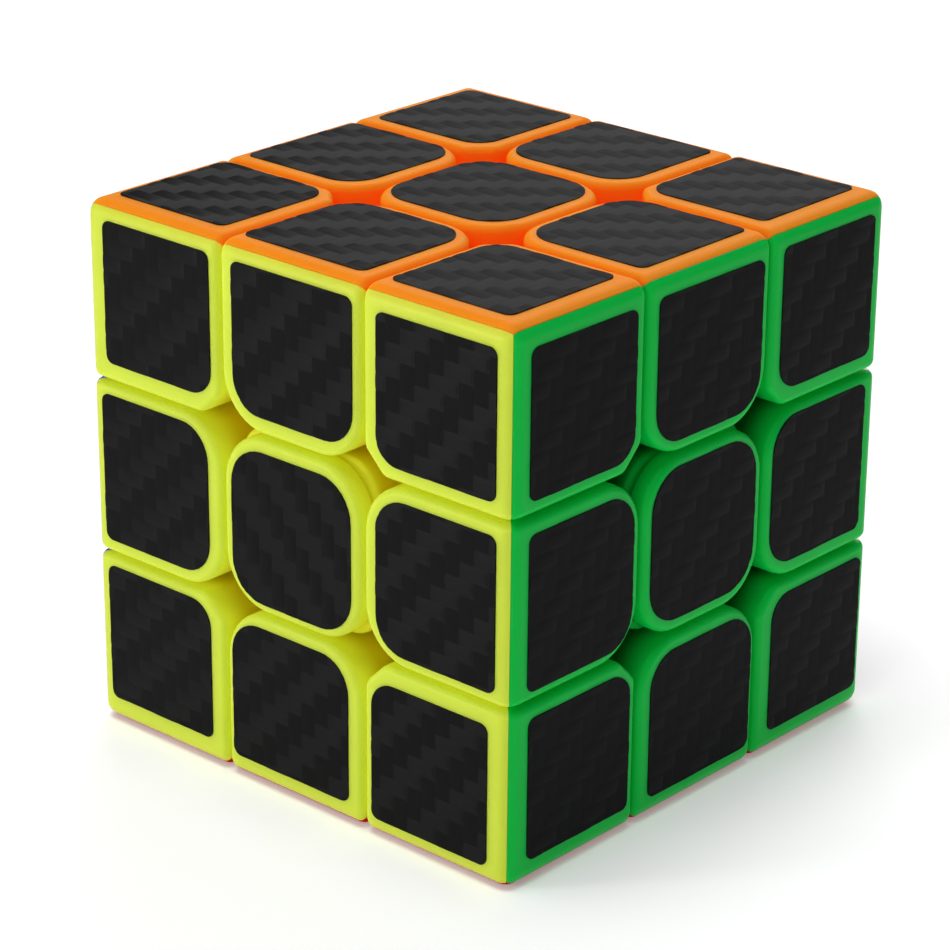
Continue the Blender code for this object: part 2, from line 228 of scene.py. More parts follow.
class Bench:
    """One shape at a time, modelled by hand at the origin in millimetres."""

    def __init__(self, name: str) -> None:
        """Take over the primitive that was just added.

        Args:
            name: Name for the shape.
        """
        self.obj: Object = bpy.context.object
        self.obj.name = name
        bpy.ops.object.transform_apply(location=True, rotation=True, scale=True)

    @classmethod
    def block(cls, name: str, low: Sequence[float], high: Sequence[float]) -> "Bench":
        """Start from a box between two corners."""
        low, high = Vector(low), Vector(high)
        bpy.ops.mesh.primitive_cube_add(size=1.0, location=(low + high) / 2, scale=high - low)
        return cls(name)

    @classmethod
    def drum(cls, name: str, axis: Vector, start: float, end: float, radius: float,
             facets: int = 64) -> "Bench":
        """Start from a cylinder along an axis through the origin.

        Args:
            name: Name for the shape.
            axis: Direction of the cylinder.
            start: Where it starts along the axis.
            end: Where it ends.
            radius: Its radius.
            facets: Sides of its circle.

        Returns:
            The bench with the cylinder on it.
        """
        bpy.ops.mesh.primitive_cylinder_add(
            vertices=facets, radius=radius, depth=end - start,
            location=Vector(axis) * (start + end) / 2,
            rotation=Vector((0, 0, 1)).rotation_difference(Vector(axis)).to_euler(),
        )
        return cls(name)

    @classmethod
    def sheet(cls, name: str, low: Sequence[float], high: Sequence[float], height: float) -> "Bench":
        """Start from a flat rectangle at a height."""
        wide, deep = high[0] - low[0], high[1] - low[1]
        middle = ((low[0] + high[0]) / 2, (low[1] + high[1]) / 2, height)
        bpy.ops.mesh.primitive_plane_add(size=1.0, location=middle)
        bpy.context.object.scale = (wide, deep, 1.0)
        return cls(name)

    @classmethod
    def ring(cls, name: str, radius: float, middle: Sequence[float], facets: int) -> "Bench":
        """Start from a bare circle that stands upright across Y."""
        bpy.ops.mesh.primitive_circle_add(
            vertices=facets, radius=radius, location=middle, rotation=(math.pi / 2, 0, 0))
        return cls(name)

    def edit(self, kind: str = "EDGE") -> BMesh:
        """Go into edit mode with nothing selected.

        Args:
            kind: VERT, EDGE or FACE, what gets selected next.

        Returns:
            The mesh that is being edited.
        """
        bpy.context.view_layer.objects.active = self.obj
        if self.obj.mode != "EDIT":
            bpy.ops.object.mode_set(mode="EDIT")
        bpy.ops.mesh.select_mode(type=kind)
        bpy.ops.mesh.select_all(action="DESELECT")
        return bmesh.from_edit_mesh(self.obj.data)

    def rest(self) -> None:
        """Go back to object mode."""
        bpy.ops.object.mode_set(mode="OBJECT")

    def select(self, kind: str, wanted: Callable) -> int:
        """Select what a test wants and stay in edit mode.

        Args:
            kind: VERT, EDGE or FACE.
            wanted: A test of one vertex, edge or face.

        Returns:
            How many were selected.
        """
        shape = self.edit(kind)
        items = {"VERT": shape.verts, "EDGE": shape.edges, "FACE": shape.faces}[kind]
        chosen = [item for item in items if wanted(item)]
        for item in chosen:
            item.select_set(True)
        bmesh.update_edit_mesh(self.obj.data)
        return len(chosen)

    def bevel(self, width: float, segments: int, wanted: Callable, kind: str = "EDGE") -> None:
        """Round or chamfer the edges or corner points that a test wants.

        Args:
            width: How far the rounding reaches.
            segments: Flats along the rounding, 1 for a chamfer.
            wanted: A test of one edge or vertex.
            kind: EDGE or VERT.
        """
        affect = {"EDGE": "EDGES", "VERT": "VERTICES"}[kind]
        if self.select(kind, wanted):
            bpy.ops.mesh.bevel(
                offset=width, segments=segments, profile=0.5, affect=affect, clamp_overlap=True)
        self.rest()

    def score(self, point: Vector, normal: Vector) -> None:
        """Cut edges along a plane and keep both sides."""
        self.edit("FACE")
        bpy.ops.mesh.select_all(action="SELECT")
        bpy.ops.mesh.bisect(plane_co=point, plane_no=normal, threshold=TINY)
        self.rest()

    def slice(self, point: Vector, normal: Vector) -> None:
        """Cut away what lies on the normal's side of a plane and close the cut."""
        self.edit("FACE")
        bpy.ops.mesh.select_all(action="SELECT")
        bpy.ops.mesh.bisect(
            plane_co=point, plane_no=normal, use_fill=True, clear_outer=True, threshold=TINY)
        self.rest()

    def sink(self, inset: float, depth: float, wanted: Callable) -> None:
        """Inset the faces that a test wants and push them in.

        Args:
            inset: Width of the rim that is left.
            depth: How far the faces go in, along -Z.
            wanted: A test of one face.
        """
        self.select("FACE", wanted)
        bpy.ops.mesh.inset(thickness=inset, depth=0.0)
        bpy.ops.mesh.extrude_region_move(TRANSFORM_OT_translate={"value": (0, 0, -depth)})
        self.rest()

    def combine(self, how: Join, *others: "Bench") -> None:
        """Add, cut by or share with other shapes, which are used up."""
        for other in others:
            modifier = self.obj.modifiers.new(other.obj.name, "BOOLEAN")
            modifier.operation = how.value
            modifier.object = other.obj
            bpy.context.view_layer.objects.active = self.obj
            bpy.ops.object.modifier_apply(modifier=modifier.name)
            bpy.data.objects.remove(other.obj)

    def finished(self, sharp: float = 35.0) -> Mesh:
        """Tidy the shape, shade it and take its mesh off the bench.

        Args:
            sharp: Edges that turn by more than this angle in degrees stay crisp.

        Returns:
            The finished mesh, in millimetres.
        """
        self.edit("VERT")
        bpy.ops.mesh.select_all(action="SELECT")
        bpy.ops.mesh.remove_doubles(threshold=TINY)
        bpy.ops.mesh.normals_make_consistent(inside=False)
        self.rest()
        bpy.ops.object.select_all(action="DESELECT")
        self.obj.select_set(True)
        bpy.ops.object.shade_smooth_by_angle(angle=math.radians(sharp))
        weigh = self.obj.modifiers.new("flat_faces", "WEIGHTED_NORMAL")
        weigh.keep_sharp = True
        bpy.ops.object.modifier_apply(modifier=weigh.name)
        mesh = self.obj.data
        bpy.data.objects.remove(self.obj)
        return mesh


def sharp_edge(edge: BMEdge) -> bool:
    """Whether two faces meet at an angle on an edge."""
    return len(edge.link_faces) == 2 and edge.calc_face_angle() > SHARP_TURN


def lies_at(edge: BMEdge, axis: int, place: float) -> bool:
    """Whether both ends of an edge lie on a plane across an axis."""
    return all(abs(vert.co[axis] - place) < TINY for vert in edge.verts)


def middle_of(edge: BMEdge) -> Vector:
    """The middle of an edge."""
    return (edge.verts[0].co + edge.verts[1].co) / 2


def lies_in(edge: BMEdge, point: Vector, normal: Vector) -> bool:
    """Whether both ends of an edge lie in a plane."""
    return all(abs((vert.co - point).dot(normal)) < TINY for vert in edge.verts)


def sharp_at(*heights: float) -> Callable[[BMEdge], bool]:
    """A test for sharp edges at any of these heights."""
    return lambda edge: sharp_edge(edge) and any(lies_at(edge, 2, height) for height in heights)


class Board:
    """A material's nodes, added and wired one by one."""

    def __init__(self, name: str) -> None:
        """Start a material with its shader.

        Args:
            name: The material's name.
        """
        self.material: Material = bpy.data.materials.new(name)
        self.material.use_nodes = True
        self.nodes = self.material.node_tree.nodes
        self.links = self.material.node_tree.links
        self.shader: Node = self.nodes["Principled BSDF"]

    def set(self, **values: object) -> None:
        """Set constants on the shader, with underscores for spaces in its socket names."""
        for name, value in values.items():
            self.shader.inputs[name.replace("_", " ")].default_value = value

    def feed(self, name: str, source: NodeSocket) -> None:
        """Wire something into one of the shader's sockets."""
        self.links.new(source, self.shader.inputs[name])

    def fill(self, socket: NodeSocket, value: NodeSocket | float | Sequence[float]) -> None:
        """Wire a socket to another one, or set it to a constant."""
        if isinstance(value, NodeSocket):
            self.links.new(value, socket)
        else:
            socket.default_value = value

    def add(self, kind: str, **values: NodeSocket | float) -> Node:
        """Add a node and fill its inputs.

        Args:
            kind: Type of node, without its prefix.
            values: What goes into each input, with underscores for spaces in its name.

        Returns:
            The new node.
        """
        node = self.nodes.new(f"ShaderNode{kind}")
        for name, value in values.items():
            self.fill(node.inputs[name.replace("_", " ")], value)
        return node

    def place(self) -> NodeSocket:
        """The piece's own coordinates, in metres."""
        return self.add("TexCoord").outputs["Object"]

    def map(self, name: str) -> NodeSocket:
        """A named UV map of the piece."""
        node = self.add("UVMap")
        node.uv_map = name
        return node.outputs["UV"]

    def split(self, vector: NodeSocket) -> list[NodeSocket]:
        """The three parts of a vector."""
        return list(self.add("SeparateXYZ", Vector=vector).outputs)

    def math(self, operation: str, *terms: NodeSocket | float) -> NodeSocket:
        """One sum of sockets and numbers.

        Args:
            operation: The Math node's operation.
            terms: Its inputs, in order.

        Returns:
            The result.
        """
        node = self.add("Math")
        node.operation = operation
        for socket, term in zip(node.inputs, terms):
            self.fill(socket, term)
        return node.outputs["Value"]

    def noise(self, vector: NodeSocket, scale: float, detail: float = 3.0) -> NodeSocket:
        """Even noise from 0 to 1 with features about 1/scale across."""
        return self.add("TexNoise", Vector=vector, Scale=scale, Detail=detail).outputs["Fac"]

    def between(self, fraction: NodeSocket, low: float, high: float) -> NodeSocket:
        """Spread a fraction over a range of numbers."""
        return self.add("MapRange", Value=fraction, To_Min=low, To_Max=high).outputs["Result"]

    def ease(self, value: NodeSocket, start: float, end: float) -> NodeSocket:
        """A smooth step from 0 at a start to 1 at an end."""
        node = self.add("MapRange", Value=value, From_Min=start, From_Max=end)
        node.interpolation_type = "SMOOTHSTEP"
        return node.outputs["Result"]

    def blend(self, fraction: NodeSocket, low: NodeSocket | Sequence[float],
              high: NodeSocket | Sequence[float]) -> NodeSocket:
        """Spread a fraction over two colours, each a constant or a socket."""
        node = self.add("Mix", Factor=fraction)
        node.data_type = "RGBA"
        ends = [socket for socket in node.inputs if socket.type == "RGBA"]
        for socket, colour in zip(ends, (low, high)):
            self.fill(socket, colour)
        return next(socket for socket in node.outputs if socket.type == "RGBA")

    def pick(self, mask: NodeSocket, off: NodeSocket, on: NodeSocket) -> NodeSocket:
        """One of two numbers, by a mask of 0 or 1."""
        node = self.add("Mix")
        values = [socket for socket in node.inputs if socket.type == "VALUE"]
        for socket, source in zip(values, (mask, off, on)):
            self.fill(socket, source)
        return node.outputs["Result"]

    def bump(self, height: NodeSocket, strength: float, distance: float) -> None:
        """Raise the surface by a height, from 0 to 1, over a distance in metres."""
        node = self.add("Bump", Strength=strength, Distance=distance, Height=height)
        self.feed("Normal", node.outputs["Normal"])


def linear(colour: Sequence[float], scale: float = 1.0) -> tuple[float, ...]:
    """A colour out of 255 as a shader takes it.

    Args:
        colour: Red, green and blue as the eye reads them.
        scale: Brightness to multiply it by.

    Returns:
        Linear red, green, blue and 1.
    """
    channels = [value / 255 for value in colour]
    lit = [c / 12.92 if c <= 0.04045 else ((c + 0.055) / 1.055) ** 2.4 for c in channels]
    return tuple(min(scale * value, 1.0) for value in lit) + (1.0,)


@dataclass(frozen=True)
class Plastic:
    """Moulded plastic in one colour, with a satin skin, a painted shade down in the gaps and a painted glow
    beside them.

    Attributes:
        slot: The record's slot for this finish.
        colour: Red, green and blue out of 255 on the outside.
        deep: The colour down in the gaps, a painted shade for the little light that gets there.
        roughness: Middle of the range of its gloss.
        mottle: How much the colour drifts across a piece.
        glow: Share of the light that goes under the skin.
        gloss: Strength of its mirror-like skin.
        painted_glow: Strength of a painted glow in its deep colour, given off beside the gaps.
        fade: How much of that painted glow is left further down.
        painted_shade_depths: Depths in millimetres over which the painted shade takes over.
        painted_glow_depths: Depths over which the painted glow comes in.
        fades: Depths over which the painted glow fades.
        travel: How far light goes under the skin, in millimetres.
        least_travel: Share of that for a colour that the dye takes out.
        spread: How far its gloss varies either way.
        drift_scale: Patches of drifting colour to a metre.
        skin_scale: Patches of varying gloss to a metre.
        grain_scale: Grains of the mould's surface to a metre.
    """

    slot: str
    colour: tuple[int, int, int]
    deep: tuple[int, int, int]
    roughness: float = 0.36
    mottle: float = 0.05
    glow: float = 0.6
    gloss: float = 0.08
    painted_glow: float = 0.1
    fade: float = 0.5
    painted_shade_depths: tuple[float, float] = (0.7, 4.5)
    painted_glow_depths: tuple[float, float] = (0.1, 0.9)
    fades: tuple[float, float] = (1.2, 4.0)
    travel: float = 3.0
    least_travel: float = 0.3
    spread: float = 0.06
    drift_scale: float = 140.0
    skin_scale: float = 900.0
    grain_scale: float = 5200.0

    def material(self) -> Material:
        """The finish as a material."""
        board = Board(self.slot)
        place = board.place()
        drift = board.noise(place, self.drift_scale)
        low = linear(self.colour, 1.0 - self.mottle)
        high = linear(self.colour, 1.0 + self.mottle)
        outside = board.blend(drift, low, high)
        # Painted shade: below the faces the colour turns to the deep colour, for the little light in the
        # gaps.
        painted_shade, painted_glow_in, fading = self.steps_down(board, place)
        deep = linear(self.deep)
        board.feed("Base Color", board.blend(painted_shade, outside, deep))
        # Painted glow: beside the gaps the surface gives off its deep colour as light, less of it further
        # down.
        through = board.math("MULTIPLY", painted_glow_in, board.between(fading, 1.0, self.fade))
        board.feed("Emission Color", board.blend(through, linear((0, 0, 0)), deep))
        skin = board.noise(place, self.skin_scale, 4.0)
        low, high = self.roughness - self.spread, self.roughness + self.spread
        board.feed("Roughness", board.between(skin, low, high))
        grain = board.noise(place, self.grain_scale, 2.0)
        board.bump(grain, 0.08, 0.01 * MM)
        board.set(Specular_IOR_Level=self.gloss, Emission_Strength=self.painted_glow,
                  Subsurface_Weight=self.glow, Subsurface_Scale=self.travel * MM,
                  Subsurface_Radius=[self.least_travel + value for value in linear(self.colour)[:3]])
        return board.material

    def steps_down(self, board: Board, place: NodeSocket) -> list[NodeSocket]:
        """How far a place has gone through each span of depths below the cube's faces.

        Args:
            board: The material.
            place: The piece's own coordinates.

        Returns:
            Smooth steps for the painted shade, the painted glow and its fading, in that order.
        """
        x, y, z = (board.math("ABSOLUTE", socket) for socket in board.split(place))
        reach = board.math("MAXIMUM", board.math("MAXIMUM", x, y), z)
        depth = board.math("SUBTRACT", cad_box[1].z, reach)
        spans = (self.painted_shade_depths, self.painted_glow_depths, self.fades)
        return [board.ease(depth, start * MM, end * MM) for start, end in spans]


@dataclass(frozen=True)
class CarbonVinyl:
    """Black embossed vinyl with a two-over-two twill.

    Attributes:
        slot: The record's slot for this finish.
        pitch: Width of an upright tow and height of a level one, in millimetres.
        relief: Height of a tow's crown, in millimetres.
        thickness: Thickness of the sheet, in millimetres.
        weave: Name of the UV map whose unit is one tow.
        fullness: Power that rounds a tow's crown, lower for a fuller one.
        dip: Share of the crown that is left where a tow goes under.
        lower: How many times lower the upright tows are.
        dark: Red, green and blue out of 255 between the fibres.
        pale: The same on the fibres.
        painted_weft_sheen: Share of the shade that level tows get, a painted sheen that makes them paler
            than the upright ones.
        roughness: Range of its gloss.
        gloss: Strength of its mirror-like skin.
        streak: How far the fibres draw out a highlight.
        fibre_scale: Fibre noise along and across a tow, to one tow.
    """

    slot: str = "carbon_sticker"
    pitch: tuple[float, float] = (1.8, 1.68)
    relief: float = 0.07
    thickness: float = 0.10
    weave: str = "weave"
    fullness: float = 0.6
    dip: float = 0.25
    lower: float = 3.0
    dark: tuple[int, int, int] = (11, 11, 12)
    pale: tuple[int, int, int] = (18, 18, 19)
    painted_weft_sheen: float = 0.15
    roughness: tuple[float, float] = (0.40, 0.50)
    gloss: float = 0.055
    streak: float = 0.9
    fibre_scale: tuple[float, float] = (0.35, 5.5)

    def height(self, u: float, v: float) -> float:
        """Height of the weave in millimetres at a place counted in tows."""
        column, row = math.floor(u), math.floor(v)
        step = (column - row) % TWILL
        if step < 2:
            along, across, relief = (u - column + step) / 2, v - row, self.relief
        else:
            along, across, relief = (v - row + TWILL - 1 - step) / 2, u - column, self.relief / self.lower
        crown = (1 - (2 * across - 1) ** 2) ** self.fullness
        rise = math.sin(math.pi * along) ** self.fullness
        return relief * crown * (self.dip + (1 - self.dip) * rise)

    def material(self) -> Material:
        """The finish as a material."""
        board = Board(self.slot)
        u, v, _ = board.split(board.map(self.weave))
        step = board.math("SUBTRACT", board.math("FLOOR", u), board.math("FLOOR", v))
        weft = board.math("LESS_THAN", board.math("FLOORED_MODULO", step, TWILL), 1.5)
        fibres = board.pick(weft, self.fibre(board, v, u), self.fibre(board, u, v))
        # Painted sheen: level tows get a paler base colour; the fibres run from dark to pale.
        shade = board.math("ADD", board.math("MULTIPLY", weft, self.painted_weft_sheen),
                           board.math("MULTIPLY", fibres, 1.0 - self.painted_weft_sheen))
        board.feed("Base Color", board.blend(shade, linear(self.dark), linear(self.pale)))
        board.feed("Roughness", board.between(fibres, *self.roughness))
        tangent = board.add("Tangent")
        tangent.direction_type = "UV_MAP"
        tangent.uv_map = self.weave
        board.feed("Tangent", tangent.outputs["Tangent"])
        quarter_turn = 0.25
        board.feed("Anisotropic Rotation", board.math("MULTIPLY", weft, quarter_turn))
        board.bump(fibres, 0.5, 0.02 * MM)
        board.set(Specular_IOR_Level=self.gloss, Anisotropic=self.streak)
        return board.material

    def fibre(self, board: Board, along: NodeSocket, across: NodeSocket) -> NodeSocket:
        """Fine lines that run along a tow, from 0 to 1."""
        long_scale, short_scale = self.fibre_scale
        lines = board.add("CombineXYZ", X=board.math("MULTIPLY", along, long_scale),
                          Y=board.math("MULTIPLY", across, short_scale))
        return board.noise(lines.outputs["Vector"], 1.0, 2.0)


@dataclass(frozen=True)
class Steel:
    """Plated steel of the screws, washers and springs.

    Attributes:
        slot: The record's slot for this finish.
        dark: The darker end of its linear colour.
        pale: The paler end.
        roughness: Range of its gloss.
    """

    slot: str = "steel"
    dark: tuple[float, ...] = (0.50, 0.50, 0.52, 1.0)
    pale: tuple[float, ...] = (0.64, 0.64, 0.65, 1.0)
    roughness: tuple[float, float] = (0.22, 0.38)

    def material(self) -> Material:
        """The finish as a material."""
        board = Board(self.slot)
        place = board.place()
        board.feed("Base Color", board.blend(board.noise(place, 500.0), self.dark, self.pale))
        board.feed("Roughness", board.between(board.noise(place, 2400.0, 4.0), *self.roughness))
        board.bump(board.noise(place, 4000.0), 0.1, 0.01 * MM)
        board.set(Metallic=1.0)
        return board.material


class Finishes:
    """Every material, made once."""

    # Outside colour, then the painted shade colour for the gaps; seep sets the strength of a painted glow
    # beside them.
    PLASTICS = {
        Face.UP: Plastic("plastic_orange", (255, 136, 28), (255, 88, 10), gloss=0.02, painted_glow=0.135, fade=1.0),
        Face.DOWN: Plastic("plastic_red", (165, 22, 14), (150, 18, 10), gloss=0.0),
        Face.FRONT: Plastic("plastic_yellow", (201, 220, 68), (224, 210, 10), painted_glow=0.22, fade=0.2),
        Face.BACK: Plastic("plastic_white", (236, 236, 232), (230, 228, 218), painted_glow=0.05),
        Face.LEFT: Plastic("plastic_blue", (24, 74, 190), (12, 48, 160)),
        Face.RIGHT: Plastic("plastic_green", (8, 188, 69), (2, 110, 30), painted_glow=0.3, fade=0.1),
    }

    def __init__(self) -> None:
        """Make the materials."""
        self.vinyl = CarbonVinyl()
        core = Plastic("core_plastic", (214, 214, 208), (210, 210, 203), roughness=0.45, painted_glow=0.0)
        finishes = [*self.PLASTICS.values(), core, self.vinyl, Steel()]
        self.materials = {finish.slot: finish.material() for finish in finishes}

    def plastic(self, face: Face) -> str:
        """The slot of a face's plastic."""
        return self.PLASTICS[face].slot


class Shelf:
    """Finished pieces, each in its place and tied to the body that carries it."""

    def __init__(self, finishes: Finishes) -> None:
        """Keep the materials at hand.

        Args:
            finishes: Every material of the cube.
        """
        self.finishes = finishes

    def place(self, master: Mesh, name: str, turn: Matrix, slot: str, node: str,
              stands_for: bool = True) -> None:
        """Copy a finished mesh to its place in the frame.

        Args:
            master: The mesh, in millimetres about the origin.
            name: Name of the piece.
            turn: Turn about the origin from where the mesh was made, and any shift, in metres.
            slot: The finish.
            node: The CAD node that it belongs to.
            stands_for: Whether it is shown in that node's place.
        """
        mesh = master.copy()
        mesh.name = name
        mesh.transform(turn @ Matrix.Scale(MM, 4))
        mesh.materials.clear()
        mesh.materials.append(self.finishes.materials[slot])
        piece = bpy.data.objects.new(name, mesh)
        bpy.context.scene.collection.objects.link(piece)
        body = frame["nodes"][node]["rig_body"]
        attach(piece, body)
        if stands_for:
            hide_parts(node)
        log.info("%s rides on %s", name, body)

    def repaint(self, node: str, slot: str) -> None:
        """Give a carried-over CAD node its finish."""
        piece = frame["nodes"][node]
        for place in piece.material_slots:
            place.material = self.finishes.materials[slot]
        log.info("%s keeps its CAD shape", node)


@dataclass
class Corner:
    """A corner: three coloured plates mitred along the cube's edges.

    Attributes:
        gauge: The shared sizes.
        notch: Legs of the chamfer beside the openings.
        fillet: Rounding of the edges beside other pieces.
        wall: Thickness of the outer walls.
        inner_wall: Thickness of the walls towards the core.
        socket: Depth of the socket for the foot.
    """

    gauge: Gauge
    notch: float = 2.5
    fillet: float = 0.75
    wall: float = 1.4
    inner_wall: float = 2.2
    socket: float = 3.2

    def plate(self) -> Mesh:
        """The plate on +Z of the corner at +X +Y +Z."""
        gauge = self.gauge
        inner = gauge.outer_start
        bench = Bench.block("corner_plate", [inner] * 3, [gauge.half] * 3)
        for axis in range(3):
            across = Vector((axis == 0, axis == 1, axis == 2))
            bench.score(across * gauge.hole_floor, across)
        bench.bevel(self.notch, 1, self.beside_opening)
        bench.bevel(gauge.shoulder, 6, gauge.on_cube_edge)
        bench.bevel(self.fillet, 4, self.to_round)
        hollow = Bench.block("corner_hollow", [inner + self.inner_wall] * 3, [gauge.half - self.wall] * 3)
        socket = Bench.block("corner_socket", [0] * 3, [inner + self.socket] * 3)
        bench.combine(Join.CUT, hollow, socket)
        for side in ((1, 0, -1), (0, 1, -1)):
            gauge.mitre(bench, Vector(side).normalized())
        return bench.finished()

    def beside_opening(self, edge: BMEdge) -> bool:
        """Whether an edge runs along an opening between pieces."""
        inner = [lies_at(edge, axis, self.gauge.outer_start) for axis in range(3)]
        return sum(inner) == 2 and middle_of(edge)[inner.index(False)] > self.gauge.hole_floor

    def to_round(self, edge: BMEdge) -> bool:
        """Whether an edge is on the rim of the outer faces or stands beside the notch."""
        if not sharp_edge(edge):
            return False
        if self.gauge.on_rim(edge):
            return True
        inner = [lies_at(edge, axis, self.gauge.outer_start) for axis in range(3)]
        notched = [lies_at(edge, axis, self.gauge.outer_start + self.notch) for axis in range(3)]
        return sum(inner) == 1 and sum(notched) == 1

    def build(self, shelf: Shelf) -> None:
        """Place the plates of all eight corners and dress their feet.

        Args:
            shelf: Where finished pieces go.
        """
        plate = self.plate()
        for faces in itertools.product(
                (Face.UP, Face.DOWN), (Face.FRONT, Face.BACK), (Face.LEFT, Face.RIGHT)):
            name = "_".join(face.label for face in faces)
            first, second, third = faces
            if second.normal.cross(first.normal).dot(third.normal) < 0:
                second, third = third, second
            for face, beside in ((first, second), (second, third), (third, first)):
                turn = turn_to(face.normal, beside.normal)
                shelf.place(plate, f"corner_plate_{name}_on_{face.label}", turn,
                            shelf.finishes.plastic(face), f"corner_shell_{name}")
            shelf.repaint(f"corner_foot_{name}", "core_plastic")


@dataclass
class Edge:
    """An edge: a body with its foot in one colour, and a lid in the other.

    Attributes:
        gauge: The shared sizes.
        rounding: Radius beside the openings.
        fillet: Rounding of the edges beside other pieces.
        lid_depth: How deep the lid reaches.
    """

    gauge: Gauge
    rounding: float = 5.5
    fillet: float = 0.75
    lid_depth: float = 6.0

    def block(self, name: str) -> Bench:
        """The outer block between +Z and +Y, rounded."""
        gauge = self.gauge
        low = (-gauge.middle_half, gauge.outer_start, gauge.outer_start)
        bench = Bench.block(name, low, (gauge.middle_half, gauge.half, gauge.half))
        for across in (Vector((0, 1, 0)), Vector((0, 0, 1))):
            bench.score(across * gauge.hole_floor, across)
        bench.bevel(self.rounding, 10, self.beside_opening)
        bench.bevel(gauge.shoulder, 6, gauge.on_cube_edge)
        bench.bevel(self.fillet, 4, lambda edge: sharp_edge(edge) and gauge.on_rim(edge))
        return bench

    def beside_opening(self, edge: BMEdge) -> bool:
        """Whether an edge runs along an opening between pieces."""
        gauge = self.gauge
        if not any(lies_at(edge, 0, side * gauge.middle_half) for side in (-1, 1)):
            return False
        return any(lies_at(edge, axis, gauge.outer_start) and middle_of(edge)[3 - axis] > gauge.hole_floor
                   for axis in (1, 2))

    def lid(self) -> Mesh:
        """The lid on +Y."""
        bench = self.block("edge_lid")
        inside = self.gauge.half - self.lid_depth + self.gauge.seam
        bench.slice(Vector((0, inside, 0)), Vector((0, -1, 0)))
        self.gauge.mitre(bench, Vector((0, -1, 1)).normalized())
        return bench.finished()

    def body(self) -> Mesh:
        """The body on +Z with its foot under both centres."""
        gauge = self.gauge
        bench = self.block("edge_body")
        far = 2 * gauge.half
        foot = Bench.block("edge_foot", (-gauge.post_half, gauge.foot_start, gauge.foot_start),
                           (gauge.post_half, gauge.track_radius, gauge.track_radius))
        for axis in (Vector((0, 1, 0)), Vector((0, 0, 1))):
            foot.combine(Join.SHARE, Bench.drum("edge_foot_round", axis, 0, far, gauge.foot_radius))
        bench.combine(Join.ADD, foot)
        for side in (-1, 1):
            bench.combine(Join.CUT, Bench.drum("edge_track", Vector((side, 0, 0)), gauge.post_half, far,
                                               gauge.track_radius))
        room = Bench.block("edge_lid_room", (-far, gauge.half - self.lid_depth, -far), (far, far, far))
        mitre = Vector((0, -1, 1)).normalized()
        room.slice(Vector(), mitre)
        bench.combine(Join.CUT, room)
        return bench.finished()

    def build(self, shelf: Shelf) -> None:
        """Place the bodies and lids of all twelve edges.

        Args:
            shelf: Where finished pieces go.
        """
        lid = self.lid()
        body = self.body()
        for first, second in itertools.combinations(Face, 2):
            if first.axis == second.axis:
                continue
            node = f"edge_{first.label}_{second.label}"
            whole, cover = (first, second) if (second.axis - first.axis) % 3 == 1 else (second, first)
            turn = turn_to(whole.normal, cover.normal)
            shelf.place(body, f"{node}_body", turn, shelf.finishes.plastic(whole), node)
            shelf.place(lid, f"{node}_lid", turn, shelf.finishes.plastic(cover), node)


